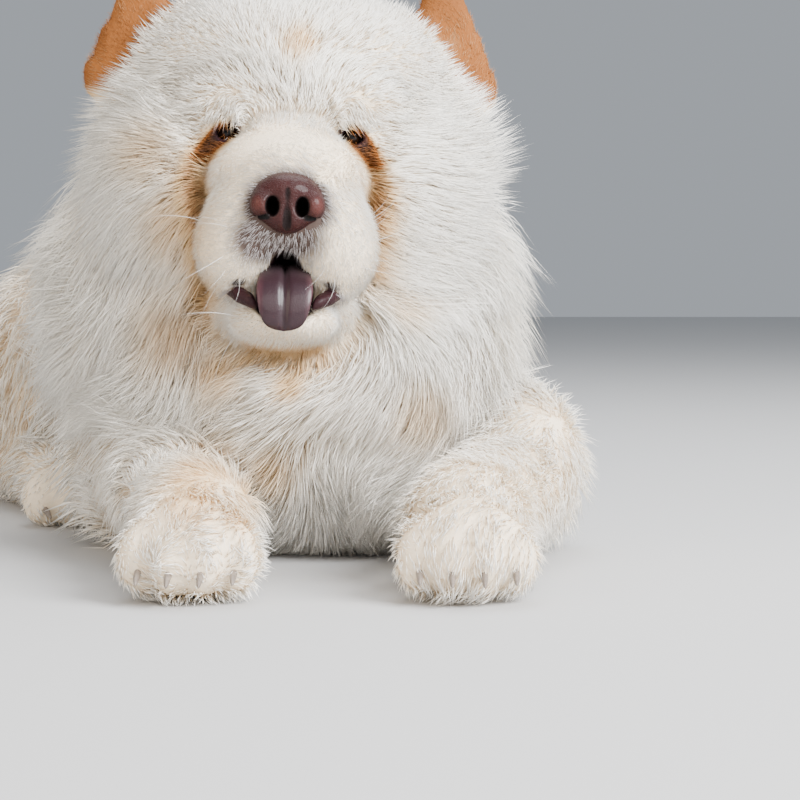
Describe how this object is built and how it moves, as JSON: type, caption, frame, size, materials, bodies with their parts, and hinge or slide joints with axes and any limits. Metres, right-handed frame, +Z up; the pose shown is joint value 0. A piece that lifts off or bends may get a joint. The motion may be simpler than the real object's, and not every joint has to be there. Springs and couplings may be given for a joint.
{
  "type": "chow chow dog",
  "caption": "Life-size cream chow chow lying down with its head up, mouth open and forelegs stretched out ahead.",
  "frame": {"origin": "on the floor under the chest, between the elbows, where the coat of the chest rests", "axes": "+Z up, the dog faces -Y, its left side is +X"},
  "size_m": [0.5093, 0.8402, 0.4101],
  "materials": {
    "coat_cream": "long soft creamy white fur",
    "coat_pale": "short near-white fur",
    "coat_tan": "short orange-tan fur",
    "nose_leather": "moist mauve-brown leather",
    "tongue": "wet blue-mauve",
    "eye": "wet dark brown",
    "claw_horn": "grey-brown horn"
  },
  "bodies": {
    "root": {"chest": "coat_cream", "claw_forepaw_left_1": "claw_horn", "claw_forepaw_left_2": "claw_horn", "claw_forepaw_left_3": "claw_horn", "claw_forepaw_left_4": "claw_horn", "claw_forepaw_right_1": "claw_horn", "claw_forepaw_right_2": "claw_horn", "claw_forepaw_right_3": "claw_horn", "claw_forepaw_right_4": "claw_horn", "claw_hindpaw_left_1": "claw_horn", "claw_hindpaw_left_2": "claw_horn", "claw_hindpaw_left_3": "claw_horn", "claw_hindpaw_left_4": "claw_horn", "claw_hindpaw_right_1": "claw_horn", "claw_hindpaw_right_2": "claw_horn", "claw_hindpaw_right_3": "claw_horn", "claw_hindpaw_right_4": "claw_horn", "ear_left": "coat_tan", "ear_right": "coat_tan", "eye_left": "eye", "eye_right": "eye", "foreleg_left": "coat_pale", "foreleg_right": "coat_pale", "forepaw_left": "coat_pale", "forepaw_right": "coat_pale", "head": "coat_cream", "hindpaw_left": "coat_pale", "hindpaw_right": "coat_pale", "lower_jaw": "coat_pale", "muzzle": "coat_pale", "neck": "coat_cream", "nose": "nose_leather", "rump": "coat_cream", "tail": "coat_cream", "thigh_left": "coat_cream", "thigh_right": "coat_cream", "tongue": "tongue", "trunk": "coat_cream"}
  },
  "joints": []
}
